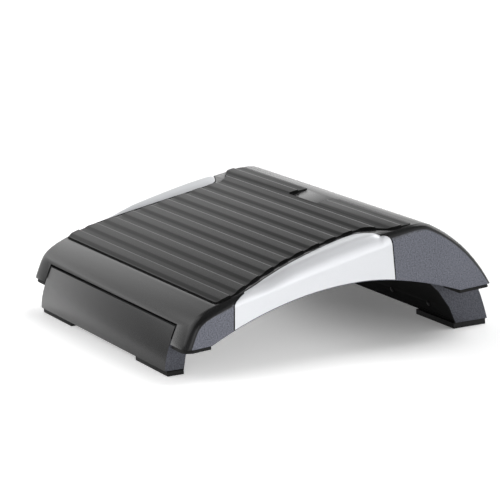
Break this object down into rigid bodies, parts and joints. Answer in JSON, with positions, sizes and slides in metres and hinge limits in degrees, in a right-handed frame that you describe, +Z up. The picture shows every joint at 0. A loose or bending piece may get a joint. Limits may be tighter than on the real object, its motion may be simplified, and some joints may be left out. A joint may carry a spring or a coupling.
{
  "type": "tilting under-desk footrest",
  "caption": "Under-desk footrest with a crowned, ribbed deck on a low front leg and a high rear leg; either leg folds inward to change the deck's tilt and height.",
  "frame": {"origin": "on the floor, under the middle of the whole part's box", "axes": "+Z up, +Y from the low front edge, where the user sits, to the high rear edge, +X to the user's right"},
  "size_m": [0.456, 0.402, 0.1372],
  "materials": {
    "casing": "fine spark-eroded texture, satin",
    "leg_casing": "fine spark-eroded texture, satin",
    "mat": "fine matt grain, ribbed",
    "side_trim": "satin silver paint",
    "foot_rubber": "matt",
    "nylon": "natural nylon",
    "rod_steel": "drawn and zinc plated",
    "spring_steel": "rolled spring steel",
    "screw": "zinc plated"
  },
  "bodies": {
    "platform": {"top_shell": "casing", "foot_mat": "mat", "left_side_trim": "side_trim", "left_trim_screw_1": "screw", "left_trim_screw_2": "screw", "right_side_trim": "side_trim", "right_trim_screw_1": "screw", "right_trim_screw_2": "screw", "front_left_corner_pad": "foot_rubber", "front_left_hinge_bush": "nylon", "front_left_friction_spring": "spring_steel", "front_left_spring_screw": "screw", "front_right_corner_pad": "foot_rubber", "front_right_hinge_bush": "nylon", "front_right_friction_spring": "spring_steel", "front_right_spring_screw": "screw", "rear_left_corner_pad": "foot_rubber", "rear_left_hinge_bush": "nylon", "rear_left_friction_spring": "spring_steel", "rear_left_spring_screw": "screw", "rear_right_corner_pad": "foot_rubber", "rear_right_hinge_bush": "nylon", "rear_right_friction_spring": "spring_steel", "rear_right_spring_screw": "screw"},
    "front_leg": {"front_leg_shell": "leg_casing", "front_leg_cover": "leg_casing", "front_cover_screw_1": "screw", "front_cover_screw_2": "screw", "front_cover_screw_3": "screw", "front_cover_screw_4": "screw", "front_hinge_rod": "rod_steel", "front_left_leg_foot": "foot_rubber", "front_left_friction_disc": "nylon", "front_right_leg_foot": "foot_rubber", "front_right_friction_disc": "nylon"},
    "rear_leg": {"rear_leg_shell": "leg_casing", "rear_leg_cover": "leg_casing", "rear_cover_screw_1": "screw", "rear_cover_screw_2": "screw", "rear_cover_screw_3": "screw", "rear_cover_screw_4": "screw", "rear_hinge_rod": "rod_steel", "rear_left_leg_foot": "foot_rubber", "rear_left_friction_disc": "nylon", "rear_right_leg_foot": "foot_rubber", "rear_right_friction_disc": "nylon"}
  },
  "joints": [
    {"name": "front_leg_fold", "type": "hinge", "parent": "platform", "child": "front_leg", "pos_m": [0, -0.16896, 0.05601], "axis": [1, 0, 0], "range_deg": [0, 120]},
    {"name": "rear_leg_fold", "type": "hinge", "parent": "platform", "child": "rear_leg", "pos_m": [0, 0.14806, 0.07799], "axis": [-1, 0, 0], "range_deg": [0, 120]}
  ]
}
